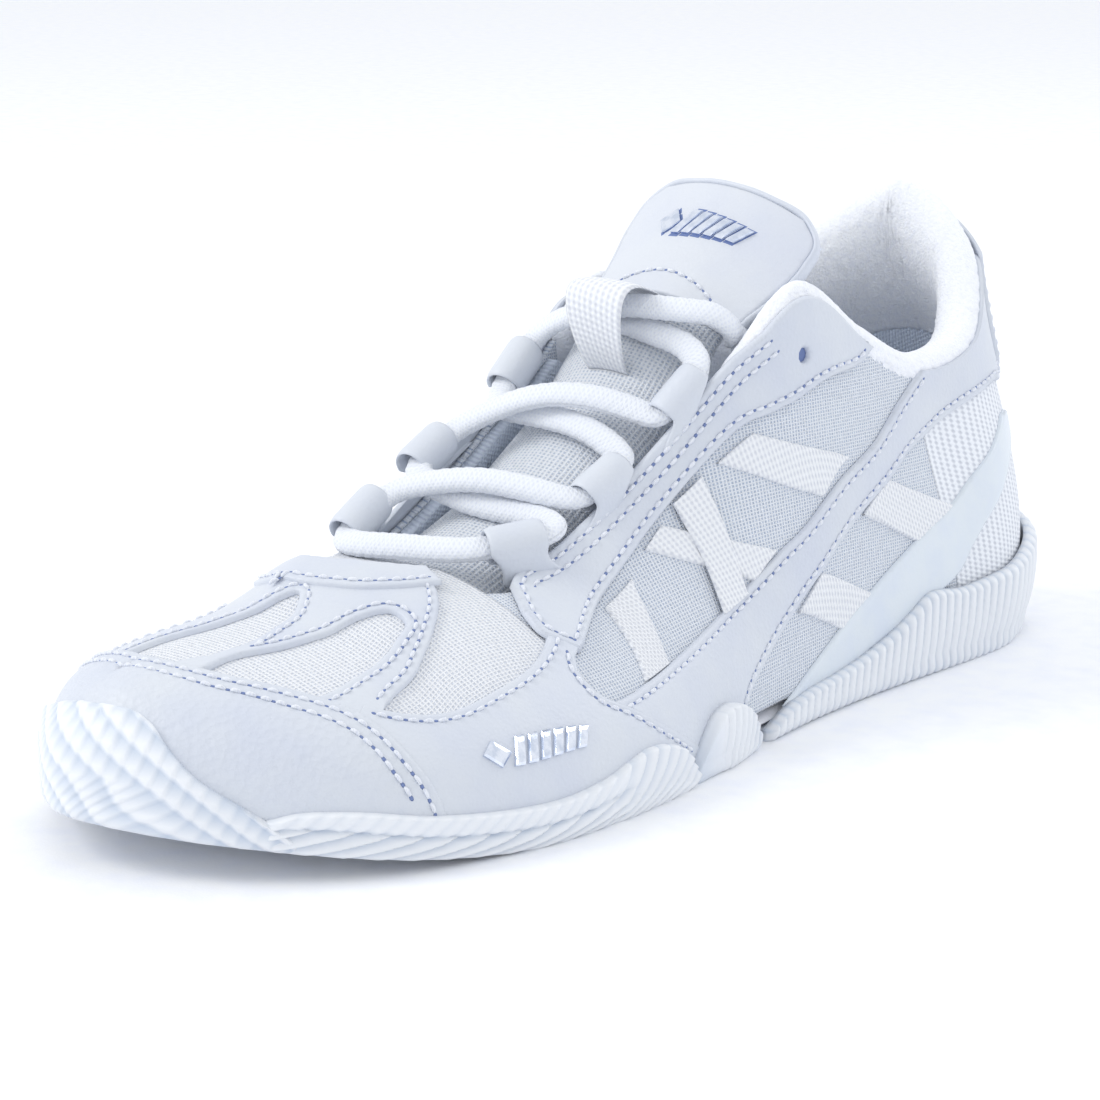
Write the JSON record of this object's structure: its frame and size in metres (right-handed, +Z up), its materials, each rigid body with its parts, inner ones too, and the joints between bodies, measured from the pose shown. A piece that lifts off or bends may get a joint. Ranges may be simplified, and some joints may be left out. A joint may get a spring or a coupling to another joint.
{
  "type": "cheer shoe",
  "caption": "Low-cut lace-up cheer shoe for the left foot: leather and mesh upper, padded collar and tongue, criss-cross lace, split rubber sole with ribbed walls",
  "frame": {"origin": "middle of the shoe's overall box in plan, on the floor", "axes": "+Z up, toe towards -Y, heel towards +Y, outer side of the foot towards +X"},
  "size_m": [0.1014, 0.2812, 0.111],
  "materials": {
    "rubber": "moulded",
    "foam": "foam",
    "shank_plastic": "moulded",
    "board": "non-woven",
    "mesh": "open mesh",
    "lining": "knit",
    "terry": "brushed terry",
    "leather": "smooth, fine grain",
    "film": "embossed, satin",
    "webbing": "woven",
    "badge": "polished",
    "lace": "braided",
    "aglet": "clear tip"
  },
  "bodies": {
    "rearfoot": {"arch_shank": "shank_plastic", "collar_lining": "terry", "collar_padding": "foam", "collar_rim": "terry", "diagonal_strap_lateral": "leather", "diagonal_strap_medial": "leather", "eyestay_lateral": "leather", "eyestay_medial": "leather", "forefoot_outsole": "rubber", "forefoot_tread_pads": "rubber", "heel_counter": "board", "heel_film_lateral": "film", "heel_film_medial": "film", "heel_lining": "lining", "heel_outsole": "rubber", "heel_tab": "leather", "heel_tread_pads": "rubber", "lace": "lace", "lace_aglets": "aglet", "lace_loops_lateral": "webbing", "lace_loops_medial": "webbing", "midfoot_lugs": "rubber", "midsole": "foam", "quarter_lining_lateral": "lining", "quarter_lining_medial": "lining", "quarter_mesh_lateral": "mesh", "quarter_mesh_medial": "mesh", "rear_quarter_mesh": "mesh", "side_panel_lateral": "leather", "side_panel_medial": "leather", "sockliner": "foam", "strobel_board": "board", "throat_band": "leather", "tongue_foam": "foam", "tongue_lining": "lining", "tongue_mesh": "mesh", "tongue_webbing_loop": "webbing", "vamp_lining": "lining", "vamp_mesh": "mesh", "vamp_overlay": "leather", "webbing_bands_lateral": "webbing", "webbing_bands_medial": "webbing"},
    "forefoot": {"toe_cap": "leather", "toe_bumper": "rubber", "toe_box_stiffener": "board", "side_badge": "badge"},
    "tongue_top": {"tongue_top_patch": "leather", "tongue_top_foam": "foam", "tongue_top_lining": "lining", "tongue_binding": "leather", "tongue_badge": "badge"}
  },
  "joints": [
    {"name": "forefoot_flex", "type": "hinge", "parent": "rearfoot", "child": "forefoot", "pos_m": [0, -0.05, 0.006], "axis": [-1, 0, 0], "range_deg": [0, 28], "stiffness_Nm_per_rad": 3, "deforming": ["forefoot_outsole", "forefoot_tread_pads", "midsole", "strobel_board", "sockliner", "vamp_mesh", "vamp_lining", "vamp_overlay", "throat_band", "side_panel_lateral", "side_panel_medial", "tongue_mesh", "tongue_foam", "tongue_lining"]},
    {"name": "tongue_fold", "type": "hinge", "parent": "rearfoot", "child": "tongue_top", "pos_m": [0, 0.0224, 0.0878], "axis": [1, 0, 0], "range_deg": [0, 40], "stiffness_Nm_per_rad": 0.2}
  ]
}
